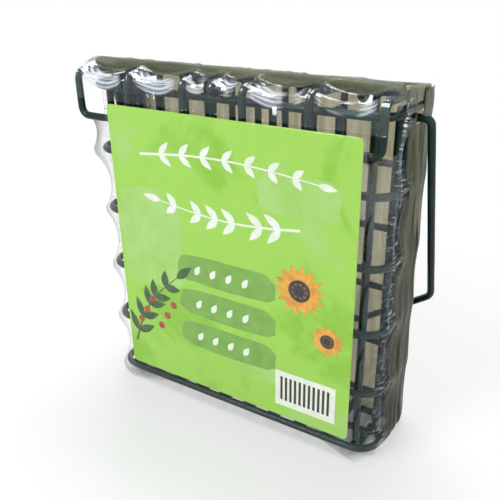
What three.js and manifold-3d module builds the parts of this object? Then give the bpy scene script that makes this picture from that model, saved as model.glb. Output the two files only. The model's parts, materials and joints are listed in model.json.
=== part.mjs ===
/*
 * Suet feeder: a dip-coated wire cage with a hinged lid and a wire bail, still in its
 * clear shrink film with a printed card on the front. Millimetres, +Z up, front face
 * towards -Y, origin in the middle of the base.
 */
import * as THREE from 'three';
import { mergeVertices } from 'three/addons/utils/BufferGeometryUtils.js';
import Module from 'manifold-3d';

const wasm = await Module();
wasm.setup();

// Driving dimensions of the cage
const wireDiameter = 3;
const wireSides = 8;
const clearance = 0.3;
const overrun = 5;
const sameSpot = 0.03;
const bendSteps = 5;
const uprightSpacing = 13.35;
const uprightCount = 10;
const hoopSpacing = 28;
const hoopCount = 6;
const hoopOverhang = 8;
const cageDepth = 40;
const hoopBendRadius = 9;
const hoopButtGap = 0.3;
const gridWireBendRadius = 4;
const crossWireCount = 2;

// Driving dimensions of the lid
const lidFrontRise = 6.9;
const lidFrontReach = 7.1;
const lipBarDrop = 11.4;
const lidBendRadius = 3.5;
const hingePlay = 0.35;
const crossBarSetback = 6;
const sideArmSetback = 6;
const catchFootReach = 1.6;
const catchBendSteps = 3;

// Driving dimensions of the bail
const bailSideGap = 2.65;
const bailLegLength = 85;
const bailReach = 113;
const bailCrossbarHalf = 38.5;
const bailBendRadius = 6;
const bailFootBendRadius = 2.5;
const bailTipInset = 4.1;
const bailTipLength = 4.4;
const bailStoredAngle = 17;

// Driving dimensions of the packaging
const filmThickness = 0.4;
const cardThickness = 0.5;
const cardWidth = 110.8;
const cardHeight = 122.7;
const cardCornerRadius = 2;
const cardSideOffset = 6.3;
const cardDropFromRim = 4.4;
const cardToLipGap = 1.7;
const filmShoulderSetback = 6;
const filmCornerInset = 2.85;
const sleeveTopDrop = 8;
const capSideReach = 1.8;
const capLipDrop = 3.9;
const filmHold = 2.2;
const filmSlopeShare = 0.35;
const sleeveDrawIn = 2.4;
const filmCornerSegments = 5;
const cardCornerSegments = 4;

// Sizes that follow from the driving dimensions
const wireRadius = wireDiameter / 2;
const wireStack = wireDiameter + clearance;
const uprightSpan = uprightSpacing * (uprightCount - 1);
const hoopHalfWidth = uprightSpan / 2 + hoopOverhang;
const halfDepth = cageDepth / 2;
const longWireBaseZ = filmThickness + clearance + wireRadius;
const crossWireBaseZ = longWireBaseZ + wireStack;
const bottomHoopZ = longWireBaseZ + gridWireBendRadius;
const rimZ = bottomHoopZ + hoopSpacing * (hoopCount - 1);
const wireTopZ = rimZ + wireRadius;
const slatSpacing = 2 * uprightSpacing;
const slatCount = uprightCount / 2 + 1;
const lidHalfWidth = slatSpacing * (slatCount - 1) / 2;
const eyeRadius = wireDiameter + hingePlay;
const lipY = -halfDepth - lidFrontReach;
const lipBarZ = rimZ - lipBarDrop;
const lidFrontZ = rimZ + lidFrontRise;
const bailTipHalfSpan = hoopHalfWidth - bailTipInset;

const wireColour = 0x163a32;
const cageMaterial = new THREE.MeshStandardMaterial({ color: wireColour, roughness: 0.32, metalness: 0 });
const filmMaterial = new THREE.MeshStandardMaterial({
  color: 0xc9cdbd, roughness: 0.08, metalness: 0, transparent: true, opacity: 0.35,
});
const cardMaterial = new THREE.MeshStandardMaterial({ color: 0x9fd64a, roughness: 0.45, metalness: 0 });

const feeder = new THREE.Group();

// A run of wire: a polyline whose corners are round, sampled ring by ring
class WirePath extends THREE.Curve {
  constructor(corners, bendRadii, stepsPerBend) {
    super();
    this.rings = WirePath.layRings(corners, bendRadii, stepsPerBend);
  }

  static layRings(corners, bendRadii, stepsPerBend) {
    const radiusAt = (index) => (Array.isArray(bendRadii) ? bendRadii[index - 1] : bendRadii);
    const rings = [];
    const addRing = (point, tangent) => {
      const last = rings[rings.length - 1];
      if (last && last.point.distanceTo(point) < sameSpot) return;
      rings.push({ point, tangent: tangent.clone().normalize() });
    };
    const heading = (index) => corners[index + 1].clone().sub(corners[index]).normalize();
    addRing(corners[0].clone(), heading(0));
    for (let index = 1; index < corners.length - 1; index += 1) {
      const incoming = heading(index - 1);
      const outgoing = heading(index);
      const turn = incoming.angleTo(outgoing);
      const setback = radiusAt(index) * Math.tan(turn / 2);
      const start = corners[index].clone().addScaledVector(incoming, -setback);
      const inward = outgoing.clone().sub(incoming.clone().multiplyScalar(incoming.dot(outgoing))).normalize();
      const centre = start.clone().addScaledVector(inward, radiusAt(index));
      for (let step = 0; step <= stepsPerBend; step += 1) {
        const angle = turn * step / stepsPerBend;
        const point = centre.clone()
          .addScaledVector(inward, -radiusAt(index) * Math.cos(angle))
          .addScaledVector(incoming, radiusAt(index) * Math.sin(angle));
        const tangent = incoming.clone().multiplyScalar(Math.cos(angle))
          .addScaledVector(inward, Math.sin(angle));
        addRing(point, tangent);
      }
    }
    addRing(corners[corners.length - 1].clone(), heading(corners.length - 2));
    return rings;
  }

  ringAt(share) {
    return this.rings[Math.round(share * (this.rings.length - 1))];
  }

  getPointAt(share, target = new THREE.Vector3()) {
    return target.copy(this.ringAt(share).point);
  }

  getTangentAt(share, target = new THREE.Vector3()) {
    return target.copy(this.ringAt(share).tangent);
  }
}

const wireSection = new THREE.Shape();
for (let side = 0; side < wireSides; side += 1) {
  const angle = 2 * Math.PI * (side + 0.5) / wireSides;
  const place = [wireRadius * Math.cos(angle), wireRadius * Math.sin(angle)];
  if (side === 0) wireSection.moveTo(...place);
  else wireSection.lineTo(...place);
}
wireSection.closePath();

function addPiece(name, geometry, material) {
  const piece = new THREE.Mesh(geometry, material);
  piece.name = name;
  feeder.add(piece);
  return piece;
}

function wireAlong(path) {
  return new THREE.ExtrudeGeometry(wireSection, {
    steps: path.rings.length - 1, extrudePath: path, curveSegments: 1,
  });
}

function addWire(name, corners, bendRadii, stepsPerBend = bendSteps) {
  const points = corners.map((corner) => new THREE.Vector3(...corner));
  const path = new WirePath(points, bendRadii, stepsPerBend);
  return addPiece(name, wireAlong(path), cageMaterial);
}

function toSolid(geometry) {
  const bare = geometry.clone();
  bare.deleteAttribute('normal');
  bare.deleteAttribute('uv');
  const merged = mergeVertices(bare);
  return new wasm.Manifold(new wasm.Mesh({
    numProp: 3,
    vertProperties: new Float32Array(merged.attributes.position.array),
    triVerts: new Uint32Array(merged.index.array),
  }));
}

function toGeometry(solid) {
  const mesh = solid.getMesh();
  const geometry = new THREE.BufferGeometry();
  geometry.setAttribute('position', new THREE.BufferAttribute(new Float32Array(mesh.vertProperties), 3));
  geometry.setIndex(new THREE.BufferAttribute(new Uint32Array(mesh.triVerts), 1));
  geometry.computeVertexNormals();
  return geometry;
}

// A closed solid through rings of as many points each; flatten turns a ring's point to its plane
function loftSolid(rings, flatten) {
  const count = rings[0].length;
  const last = (rings.length - 1) * count;
  const triangles = [];
  for (let start = 0; start < last; start += count) {
    for (let index = 0; index < count; index += 1) {
      const near = start + index;
      const beside = start + (index + 1) % count;
      triangles.push(near, beside, beside + count, near, beside + count, near + count);
    }
  }
  for (const [a, b, c] of THREE.ShapeUtils.triangulateShape(rings[0].map(flatten), [])) {
    triangles.push(c, b, a);
  }
  for (const [a, b, c] of THREE.ShapeUtils.triangulateShape(rings[rings.length - 1].map(flatten), [])) {
    triangles.push(last + a, last + b, last + c);
  }
  const geometry = new THREE.BufferGeometry();
  const positions = rings.flat().flatMap((point) => point.toArray());
  geometry.setAttribute('position', new THREE.BufferAttribute(new Float32Array(positions), 3));
  geometry.setIndex(triangles);
  return toSolid(geometry);
}

function boxBetween(low, high) {
  const size = high.map((value, axis) => value - low[axis]);
  const middle = high.map((value, axis) => (value + low[axis]) / 2);
  return new THREE.BoxGeometry(...size).translate(...middle);
}

// Cage: hoops round the outside, each closed by a butt weld at the back
function addHoops() {
  const butt = hoopButtGap / 2;
  for (let level = 0; level < hoopCount; level += 1) {
    const z = bottomHoopZ + hoopSpacing * level;
    const corners = [
      [butt, halfDepth, z], [hoopHalfWidth, halfDepth, z], [hoopHalfWidth, -halfDepth, z],
      [-hoopHalfWidth, -halfDepth, z], [-hoopHalfWidth, halfDepth, z], [-butt, halfDepth, z],
    ];
    const name = level === hoopCount - 1 ? 'rim_hoop' : `hoop_${level + 1}`;
    addWire(name, corners, hoopBendRadius);
  }
}

// Cage: long wires, each a front upright, a bottom run and a back upright
function addLongWires() {
  const inset = halfDepth - wireStack;
  for (let index = 0; index < uprightCount; index += 1) {
    const x = -uprightSpan / 2 + uprightSpacing * index;
    const corners = [
      [x, -inset, wireTopZ], [x, -inset, longWireBaseZ], [x, inset, longWireBaseZ], [x, inset, wireTopZ],
    ];
    addWire(`long_wire_${index + 1}`, corners, gridWireBendRadius);
  }
}

// Cage: cross wires, each a left upright, a bottom run and a right upright
function addCrossWires() {
  const reach = hoopHalfWidth - wireStack;
  const spacing = cageDepth / (crossWireCount + 1);
  for (let index = 0; index < crossWireCount; index += 1) {
    const y = -halfDepth + spacing * (index + 1);
    const corners = [
      [-reach, y, wireTopZ], [-reach, y, crossWireBaseZ], [reach, y, crossWireBaseZ], [reach, y, wireTopZ],
    ];
    addWire(`cross_wire_${index + 1}`, corners, gridWireBendRadius);
  }
}

// Height of the lid's wires over a place y: they rise from the hinge eye to the front bend
function lidZ(y) {
  const rise = lidFrontRise - eyeRadius;
  return rimZ + eyeRadius + rise * (halfDepth - y) / (halfDepth - lipY);
}

// Lid: one outer wire makes both sides and the lip bar
function addLidFrame() {
  const endY = halfDepth - sideArmSetback;
  const corners = [
    [-lidHalfWidth, endY, lidZ(endY)], [-lidHalfWidth, lipY, lidFrontZ], [-lidHalfWidth, lipY, lipBarZ],
    [lidHalfWidth, lipY, lipBarZ], [lidHalfWidth, lipY, lidFrontZ], [lidHalfWidth, endY, lidZ(endY)],
  ];
  addWire('lid_frame', corners, lidBendRadius);
}

// Lid: inner slats with an eye round the rim's back rail
function addLidSlats() {
  const endZ = lipBarZ + wireStack;
  for (let index = 1; index < slatCount - 1; index += 1) {
    const x = -lidHalfWidth + slatSpacing * index;
    const corners = [
      [x, halfDepth - eyeRadius, rimZ],
      [x, halfDepth - eyeRadius, rimZ - eyeRadius],
      [x, halfDepth + eyeRadius, rimZ - eyeRadius],
      [x, halfDepth + eyeRadius, rimZ + eyeRadius],
      [x, halfDepth, rimZ + eyeRadius],
      [x, lipY, lidFrontZ],
      [x, lipY, endZ],
    ];
    const radii = [eyeRadius, eyeRadius, eyeRadius, wireRadius, lidBendRadius];
    addWire(`lid_slat_${index}`, corners, radii);
  }
}

// Lid: a bar across the slats, and a short catch that bends back to sit on the front rail
function addLidBars() {
  const barY = -halfDepth + crossBarSetback;
  const barZ = lidZ(barY) + wireStack;
  const barHalf = lidHalfWidth + wireRadius;
  addWire('lid_cross_bar', [[-barHalf, barY, barZ], [barHalf, barY, barZ]], wireRadius);

  const footZ = rimZ + wireStack;
  const slope = Math.atan2(lidFrontRise - eyeRadius, halfDepth - lipY);
  const turnRadius = (lidFrontZ - footZ) / (1 + Math.tan(Math.PI / 4 + slope / 2));
  const startY = barY + wireRadius;
  const corners = [
    [0, startY, lidZ(startY)], [0, lipY, lidFrontZ], [0, lipY, footZ],
    [0, -halfDepth + catchFootReach, footZ],
  ];
  addWire('lid_catch', corners, turnRadius, catchBendSteps);
}

// Bail: feet turn in under the rim's side rails, legs fold down behind the cage
function addBail() {
  const pivotZ = rimZ - wireDiameter - hingePlay;
  const legX = hoopHalfWidth + wireRadius + bailSideGap + wireRadius;
  const stored = THREE.MathUtils.degToRad(bailStoredAngle);
  const place = (x, reach) => [x, reach * Math.sin(stored), pivotZ - reach * Math.cos(stored)];
  const half = [
    [bailTipHalfSpan, bailTipLength], [bailTipHalfSpan, 0], [legX, 0],
    [legX, bailLegLength], [bailCrossbarHalf, bailReach],
  ];
  const right = half.map(([x, reach]) => place(x, reach));
  const left = half.map(([x, reach]) => place(-x, reach)).reverse();
  const halfRadii = [bailFootBendRadius, bailFootBendRadius, bailBendRadius, bailBendRadius];
  addWire('bail', [...right, ...left], [...halfRadii, ...halfRadii.slice().reverse()]);
}

// Packaging: printed card in front of the lip bar, clear of its swing
const cardBackY = lipY - wireRadius - cardToLipGap;
const cardFrontY = cardBackY - cardThickness;
const cardTopZ = rimZ - cardDropFromRim;
const cardLeftX = cardSideOffset - cardWidth / 2;
const cardRightX = cardSideOffset + cardWidth / 2;

function addCard() {
  const low = [cardLeftX, cardTopZ - cardHeight];
  const high = [cardRightX, cardTopZ];
  const round = cardCornerRadius;
  const outline = new THREE.Shape();
  outline.moveTo(low[0] + round, low[1]);
  outline.lineTo(high[0] - round, low[1]);
  outline.absarc(high[0] - round, low[1] + round, round, -Math.PI / 2, 0);
  outline.lineTo(high[0], high[1] - round);
  outline.absarc(high[0] - round, high[1] - round, round, 0, Math.PI / 2);
  outline.lineTo(low[0] + round, high[1]);
  outline.absarc(low[0] + round, high[1] - round, round, Math.PI / 2, Math.PI);
  outline.lineTo(low[0], low[1] + round);
  outline.absarc(low[0] + round, low[1] + round, round, Math.PI, 3 * Math.PI / 2);
  outline.closePath();
  const card = new THREE.ExtrudeGeometry(outline, {
    depth: cardThickness, bevelEnabled: false, curveSegments: cardCornerSegments,
  });
  card.rotateX(Math.PI / 2);
  card.translate(0, cardBackY, 0);
  addPiece('label_card', card, cardMaterial);
}

// Stations along a run of film held by wires: flat over each wire, drawn in between two of them
function filmStations(supports, start, end) {
  const stations = [[start, 0]];
  for (let index = 0; index < supports.length - 1; index += 1) {
    const from = supports[index] + filmHold;
    const to = supports[index + 1] - filmHold;
    const slope = (to - from) * filmSlopeShare;
    stations.push([from, 0], [from + slope, 1], [to - slope, 1], [to, 0]);
  }
  stations.push([end, 0]);
  return stations;
}

// Packaging: film bag outline seen from above, tented from the card to the hoops
function filmOutline(grow, drawIn) {
  const sideX = hoopHalfWidth + wireRadius + clearance + grow - drawIn;
  const backY = halfDepth + wireRadius + clearance + grow - drawIn;
  const frontY = cardFrontY - clearance - grow;
  const shoulderY = -halfDepth + filmShoulderSetback;
  const round = hoopBendRadius + wireRadius;
  const outline = new THREE.Shape();
  const cornerX = hoopHalfWidth - filmCornerInset + grow - drawIn;
  const cornerY = -halfDepth - wireRadius - clearance - grow + drawIn;
  outline.moveTo(cardLeftX - clearance - grow, frontY);
  outline.lineTo(cardRightX + clearance + grow, frontY);
  outline.lineTo(cornerX, cornerY);
  outline.lineTo(sideX, shoulderY);
  outline.lineTo(sideX, backY - round);
  outline.absarc(sideX - round, backY - round, round, 0, Math.PI / 2);
  outline.lineTo(round - sideX, backY);
  outline.absarc(round - sideX, backY - round, round, Math.PI / 2, Math.PI);
  outline.lineTo(-sideX, shoulderY);
  outline.lineTo(-cornerX, cornerY);
  return outline.extractPoints(filmCornerSegments).shape;
}

function filmBag(grow, lowZ, highZ) {
  const hoops = Array.from({ length: hoopCount }, (_, level) => bottomHoopZ + hoopSpacing * level);
  const stations = filmStations(hoops, lowZ, highZ).filter(([z]) => z <= highZ);
  const rings = stations.map(([z, share]) => (
    filmOutline(grow, share * sleeveDrawIn).map((point) => new THREE.Vector3(point.x, point.y, z))
  ));
  return loftSolid(rings, (point) => new THREE.Vector2(point.x, point.y));
}

function addFilmSleeve() {
  const frontTopZ = cardTopZ + clearance;
  const sideTopZ = rimZ - sleeveTopDrop;
  const lipUndersideZ = lipBarZ - wireRadius - clearance;
  const behindCardY = cardBackY + clearance;
  const reach = hoopHalfWidth + hoopOverhang + overrun;
  const backReach = halfDepth + hoopOverhang + overrun;
  const frontReach = cardFrontY - overrun;
  const topCut = frontTopZ + overrun;
  const cornerBackY = -halfDepth + filmShoulderSetback;
  let sleeve = filmBag(filmThickness, 0, topCut);
  sleeve = sleeve.subtract(filmBag(0, filmThickness, topCut + overrun));
  sleeve = sleeve.subtract(toSolid(boxBetween([-reach, frontReach, frontTopZ], [reach, backReach, topCut + overrun])));
  const cuts = [
    boxBetween([-reach, behindCardY, sideTopZ], [reach, backReach, topCut]),
    boxBetween([-reach, frontReach, lipUndersideZ], [cardLeftX - clearance, cornerBackY, topCut]),
    boxBetween([cardRightX + clearance, frontReach, lipUndersideZ], [reach, cornerBackY, topCut]),
  ];
  for (const cut of cuts) sleeve = sleeve.subtract(toSolid(cut));
  addPiece('film_sleeve', toGeometry(sleeve), filmMaterial);
}

// Packaging: film over the lid, cut free of the sleeve so that it opens with the lid
function addFilmCap() {
  const barY = -halfDepth + crossBarSetback;
  const frontY = lipY - wireRadius - clearance;
  const over = wireRadius + clearance;
  const barTopZ = lidZ(barY) + wireStack + over;
  const inner = [
    [frontY, rimZ - capLipDrop], [frontY, lidFrontZ + over], [barY - over, barTopZ], [barY + over, barTopZ],
    [halfDepth, lidZ(halfDepth) + over],
  ];
  const outer = inner.map(([y, z], index) => (
    index < 2 ? [y - filmThickness, index ? z + filmThickness : z] : [y, z + filmThickness]
  ));
  const profile = new THREE.Shape([...inner, ...outer.reverse()].map((point) => new THREE.Vector2(...point)));
  const halfWidth = lidHalfWidth + capSideReach;
  const cap = new THREE.ExtrudeGeometry(profile, { depth: 2 * halfWidth, bevelEnabled: false });
  // The profile's own x, y and depth become y, z and x
  const turn = new THREE.Matrix4().makeBasis(
    new THREE.Vector3(0, 1, 0), new THREE.Vector3(0, 0, 1), new THREE.Vector3(1, 0, 0),
  );
  cap.applyMatrix4(turn);
  cap.translate(-halfWidth, 0, 0);
  addPiece('film_cap', cap, filmMaterial);
}

addHoops();
addLongWires();
addCrossWires();
addLidFrame();
addLidSlats();
addLidBars();
addBail();
addCard();
addFilmSleeve();
addFilmCap();

export default feeder;
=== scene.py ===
"""Dresses the suet feeder: dip-coated wires, weld fillets, shrink film, printed card and studio.

Every size is in metres in the part's own frame: +Z up, the card towards -Y, origin in the
middle of the base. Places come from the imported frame, and looks from procedural materials.
"""

import json
import logging
import math
from dataclasses import dataclass, field
from enum import Enum
from typing import Any, Iterable, Sequence

import bmesh
import bpy
import numpy as np
from mathutils import Matrix, Vector, noise


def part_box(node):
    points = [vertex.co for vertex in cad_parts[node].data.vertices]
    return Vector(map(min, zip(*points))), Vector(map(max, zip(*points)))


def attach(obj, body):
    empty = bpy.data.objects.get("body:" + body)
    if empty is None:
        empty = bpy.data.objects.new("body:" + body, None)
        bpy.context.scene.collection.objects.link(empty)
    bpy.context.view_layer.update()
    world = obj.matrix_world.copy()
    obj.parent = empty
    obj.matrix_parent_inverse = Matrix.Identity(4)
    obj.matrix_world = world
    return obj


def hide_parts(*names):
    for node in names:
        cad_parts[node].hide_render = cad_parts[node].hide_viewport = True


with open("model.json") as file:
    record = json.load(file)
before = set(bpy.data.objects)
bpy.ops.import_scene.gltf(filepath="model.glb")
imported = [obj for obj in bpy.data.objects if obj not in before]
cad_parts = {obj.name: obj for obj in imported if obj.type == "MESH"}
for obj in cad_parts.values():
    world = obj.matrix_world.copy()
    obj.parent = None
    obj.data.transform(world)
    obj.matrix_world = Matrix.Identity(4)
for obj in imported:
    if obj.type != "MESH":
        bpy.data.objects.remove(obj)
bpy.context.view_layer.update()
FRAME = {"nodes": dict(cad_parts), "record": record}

LOG = logging.getLogger("suet_feeder")
MM = 0.001
WIRE_RADIUS = 1.5 * MM
SECTION_SIDES = 8
FLAT_RADIUS = WIRE_RADIUS * math.cos(math.pi / SECTION_SIDES)
MERGE_DISTANCE = 0.001 * MM

Pair = tuple[float, float]
Triple = tuple[float, float, float]
Outline = list[Pair]


class Body(Enum):
    """The CAD bodies that pieces ride on."""

    CAGE = "cage"
    LID = "lid"
    BAIL = "bail"


class Slot(Enum):
    """The record's material slots."""

    WIRE = "coated_wire"
    FILM = "clear_film"
    CARD = "printed_card"


def linear(hex_colour: str) -> tuple[float, float, float, float]:
    """Turns an sRGB hex colour to linear RGBA.

    Args:
        hex_colour: Six hex digits, with or without a leading #.

    Returns:
        The linear colour with alpha 1.
    """
    digits = hex_colour.lstrip("#")
    channels = [int(digits[i : i + 2], 16) / 255 for i in (0, 2, 4)]
    curve = [c / 12.92 if c <= 0.04045 else ((c + 0.055) / 1.055) ** 2.4 for c in channels]
    return (*curve, 1.0)


def add_node(tree: bpy.types.NodeTree, kind: str, settings: dict[Any, Any] | None = None,
             links: dict[Any, Any] | None = None,
             stops: Sequence[tuple[float, str]] = ()) -> bpy.types.Node:
    """Adds a node with its settings and links.

    Args:
        tree: The tree that takes the node.
        kind: The node's Blender type name.
        settings: Attribute names, or input sockets by name or index, with their values.
        links: Input sockets by name or index, with what feeds them: an output socket, or a
            node, which stands for its first output.
        stops: A colour ramp's positions from 0 to 1, with their hex colours.

    Returns:
        The new node.
    """
    node = tree.nodes.new(kind)
    for key, value in (settings or {}).items():
        if isinstance(key, str) and hasattr(node, key):
            setattr(node, key, value)
        else:
            node.inputs[key].default_value = value
    for key, source in (links or {}).items():
        output = source.outputs[0] if isinstance(source, bpy.types.Node) else source
        tree.links.new(output, node.inputs[key])
    if stops:
        elements = node.color_ramp.elements
        while len(elements) < len(stops):
            elements.new(0.5)
        for element, (position, colour) in zip(elements, stops):
            element.position = position
            element.color = linear(colour)
    return node


def new_material(name: str) -> tuple[bpy.types.Material, bpy.types.NodeTree]:
    """Makes an empty node material and returns it with its tree."""
    material = bpy.data.materials.new(name)
    material.use_nodes = True
    material.node_tree.nodes.clear()
    return material, material.node_tree


@dataclass(frozen=True)
class DippedCoating:
    """Plastisol PVC dip coating on steel wire: dark, thick-skinned, glossy with a faint orange peel."""

    name: str = "dipped_coating"
    deep: str = "#051B16"
    mid: str = "#0A2C24"
    # The lightest, teal stop is a painted sheen, laid at random over the wire by the mottle
    teal_sheen: str = "#164238"
    roughness: Pair = (0.2, 0.38)
    peel_mm: float = 1.4
    peel_depth_mm: float = 0.12
    mottle_mm: float = 9.0

    def material(self) -> bpy.types.Material:
        """Builds the coating's material."""
        material, tree = new_material(self.name)
        place = add_node(tree, "ShaderNodeTexCoord").outputs["Object"]
        mottle = add_node(tree, "ShaderNodeTexNoise",
                          {"Scale": 1 / (self.mottle_mm * MM), "Detail": 3.0}, {"Vector": place})
        peel = add_node(tree, "ShaderNodeTexNoise",
                        {"Scale": 1 / (self.peel_mm * MM), "Detail": 2.0}, {"Vector": place})
        # Mottle from deep to mid green, with a painted teal sheen at its light end
        colour = add_node(tree, "ShaderNodeValToRGB", links={0: mottle},
                          stops=[(0.3, self.deep), (0.55, self.mid), (0.8, self.teal_sheen)])
        rough = add_node(tree, "ShaderNodeMapRange",
                         {"To Min": self.roughness[0], "To Max": self.roughness[1]}, {"Value": mottle})
        bump = add_node(tree, "ShaderNodeBump",
                        {"Strength": 0.18, "Distance": self.peel_depth_mm * MM}, {"Height": peel})
        shader = add_node(tree, "ShaderNodeBsdfPrincipled", {"IOR": 1.46, "Specular IOR Level": 0.3},
                          {"Base Color": colour, "Roughness": rough, "Normal": bump})
        add_node(tree, "ShaderNodeOutputMaterial", links={"Surface": shader})
        return material


@dataclass(frozen=True)
class ShrinkFilm:
    """Polyolefin shrink film: clear and glossy where taut, grey-green and streaked where it bunches.

    It reads the marks that a film grid carries: haze, arc, backing, depth (painted shade), hatch and
    whitening (pale stress marks, and painted highlight arcs on the lid).
    """

    name: str = "shrink_film"
    haze_light: str = "#A9AC92"
    haze_mid: str = "#8D9273"
    haze_dark: str = "#737859"
    backing: str = "#665828"
    clear_tint: str = "#FFFFFF"
    rear_tint: str = "#FFFCE6"
    # Painted shade: the dark colour that the depth mark draws the film towards
    deep: str = "#20230F"
    glint: str = "#EAF2FA"
    streak_mm: float = 3.0
    streak_stretch: float = 0.1
    crease_mm: float = 7.0
    relief_mm: float = 0.45
    hatch_mm: Pair = (0.8, 4.5)
    hatch_slant: float = math.radians(18)
    arc_count: float = 7.0
    face_on_gloss: float = 0.008
    grazing_gloss: float = 0.13
    roughness: Pair = (0.06, 0.33)

    def material(self) -> bpy.types.Material:
        """Builds the film: see-through where taut, covered by streaks where the haze is high."""
        material, tree = new_material(self.name)
        flat = add_node(tree, "ShaderNodeUVMap", {"uv_map": "sheet"})
        marks = {name: add_node(tree, "ShaderNodeAttribute", {"attribute_name": name}).outputs["Fac"]
                 for name in ("haze", "arc", "backing", "depth", "hatch", "whitening_and_glare")}
        # Long streaks make the haze uneven, and say how much it covers
        fine = 1 / (self.streak_mm * MM)
        stretch = add_node(tree, "ShaderNodeMapping",
                           {"Scale": (fine, fine * self.streak_stretch, 1.0)}, {"Vector": flat})
        streaks = add_node(tree, "ShaderNodeTexNoise",
                           {"Scale": 1.0, "Detail": 3.0, "Distortion": 0.5}, {"Vector": stretch})
        uneven = add_node(tree, "ShaderNodeMapRange",
                          {"From Min": 0.3, "From Max": 0.7, "To Min": 0.8, "To Max": 1.12},
                          {"Value": streaks})
        cover = add_node(tree, "ShaderNodeMath", {"operation": "MULTIPLY", "use_clamp": True},
                         {0: marks["haze"], 1: uneven})
        # Relief: soft creases everywhere, and the streaks where the film is covered
        creases = add_node(tree, "ShaderNodeTexNoise",
                           {"Scale": 1 / (self.crease_mm * MM), "Detail": 2.0, "Distortion": 0.8},
                           {"Vector": flat})
        relief = add_node(tree, "ShaderNodeMath", {"operation": "MULTIPLY"}, {0: streaks, 1: cover})
        height = add_node(tree, "ShaderNodeMath", {"operation": "ADD"}, {0: relief, 1: creases})
        bump = add_node(tree, "ShaderNodeBump",
                        {"Strength": 0.35, "Distance": self.relief_mm * MM}, {"Height": height})
        # Taut film shows its gloss mostly at a grazing angle, by the fifth power that glass follows
        facing = add_node(tree, "ShaderNodeLayerWeight", {"Blend": 0.5}, {"Normal": bump})
        grazing = add_node(tree, "ShaderNodeMath", {"operation": "POWER", 1: 5.0},
                           {0: facing.outputs["Facing"]})
        mirror = add_node(tree, "ShaderNodeMapRange",
                          {"To Min": self.face_on_gloss, "To Max": self.grazing_gloss},
                          {"Value": grazing})
        covered = add_node(tree, "ShaderNodeMath", {"operation": "MAXIMUM"}, {0: mirror, 1: cover})
        # Pale marks: slanting hatch lines of stress, and arcs between the wires of the lid, which are
        # painted highlight
        slant = add_node(tree, "ShaderNodeMapping",
                         {"Rotation": (0.0, 0.0, self.hatch_slant),
                          "Scale": (1 / (self.hatch_mm[1] * MM), 1 / (self.hatch_mm[0] * MM), 1.0)},
                         {"Vector": flat})
        pleats = add_node(tree, "ShaderNodeTexNoise",
                          {"Scale": 1.0, "Detail": 2.0, "Distortion": 0.6}, {"Vector": slant})
        lines = add_node(tree, "ShaderNodeMapRange",
                         {"From Min": 0.55, "From Max": 0.68, "To Max": 0.3}, {"Value": pleats})
        hatch = add_node(tree, "ShaderNodeMath", {"operation": "MULTIPLY"},
                         {0: lines, 1: marks["hatch"]})
        turn = add_node(tree, "ShaderNodeMath",
                        {"operation": "MULTIPLY", 1: 2 * math.pi * self.arc_count}, {0: marks["arc"]})
        wave = add_node(tree, "ShaderNodeMath", {"operation": "SINE"}, {0: turn})
        arcs = add_node(tree, "ShaderNodeMapRange",
                        {"From Min": -0.5, "From Max": 0.95, "To Min": 0.25}, {"Value": wave})
        stress_and_glare = add_node(tree, "ShaderNodeMath", {"operation": "MULTIPLY"},
                            {0: arcs, 1: marks["whitening_and_glare"]})
        white = add_node(tree, "ShaderNodeMath", {"operation": "MAXIMUM"}, {0: hatch, 1: stress_and_glare})
        alpha = add_node(tree, "ShaderNodeMath", {"operation": "MAXIMUM"}, {0: covered, 1: white})
        # Colour: streaked haze, browner at the back, darkened by painted shade on the sides, low down and
        # on the base, and pale on bare film
        haze = add_node(tree, "ShaderNodeValToRGB", links={0: streaks},
                        stops=[(0.3, self.haze_dark), (0.48, self.haze_mid), (0.68, self.haze_light)])
        rear = add_node(tree, "ShaderNodeMix", {"data_type": "RGBA", 7: linear(self.backing)},
                        {0: marks["backing"], 6: haze})
        shaded = add_node(tree, "ShaderNodeMix", {"data_type": "RGBA", 7: linear(self.deep)},
                          {0: marks["depth"], 6: rear.outputs[2]})
        sheer = add_node(tree, "ShaderNodeMapRange",
                         {"From Min": 0.03, "From Max": 0.18, "To Min": 1.0, "To Max": 0.0},
                         {"Value": cover})
        pale = add_node(tree, "ShaderNodeMath", {"operation": "MAXIMUM"}, {0: sheer, 1: white})
        tint = add_node(tree, "ShaderNodeMix", {"data_type": "RGBA", 7: linear(self.glint)},
                        {0: pale, 6: shaded.outputs[2]})
        bare = add_node(tree, "ShaderNodeMath", {"operation": "SUBTRACT", "use_clamp": True},
                        {0: sheer, 1: white})
        rough = add_node(tree, "ShaderNodeMapRange",
                         {"To Min": self.roughness[0], "To Max": self.roughness[1]}, {"Value": cover})
        # Bare film is mirror-like skin at a low alpha, and lets the rest through almost untinted
        skin = add_node(tree, "ShaderNodeBsdfPrincipled", {"IOR": 1.5, "Specular IOR Level": 0.12},
                        {"Base Color": tint.outputs[2], "Metallic": bare, "Roughness": rough,
                         "Normal": bump})
        through = add_node(tree, "ShaderNodeMix",
                           {"data_type": "RGBA", 6: linear(self.clear_tint), 7: linear(self.rear_tint)},
                           {0: marks["backing"]})
        clear = add_node(tree, "ShaderNodeBsdfTransparent", links={"Color": through.outputs[2]})
        mixed = add_node(tree, "ShaderNodeMixShader", links={0: alpha, 1: clear, 2: skin})
        add_node(tree, "ShaderNodeOutputMaterial", links={"Surface": mixed})
        return material


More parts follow.
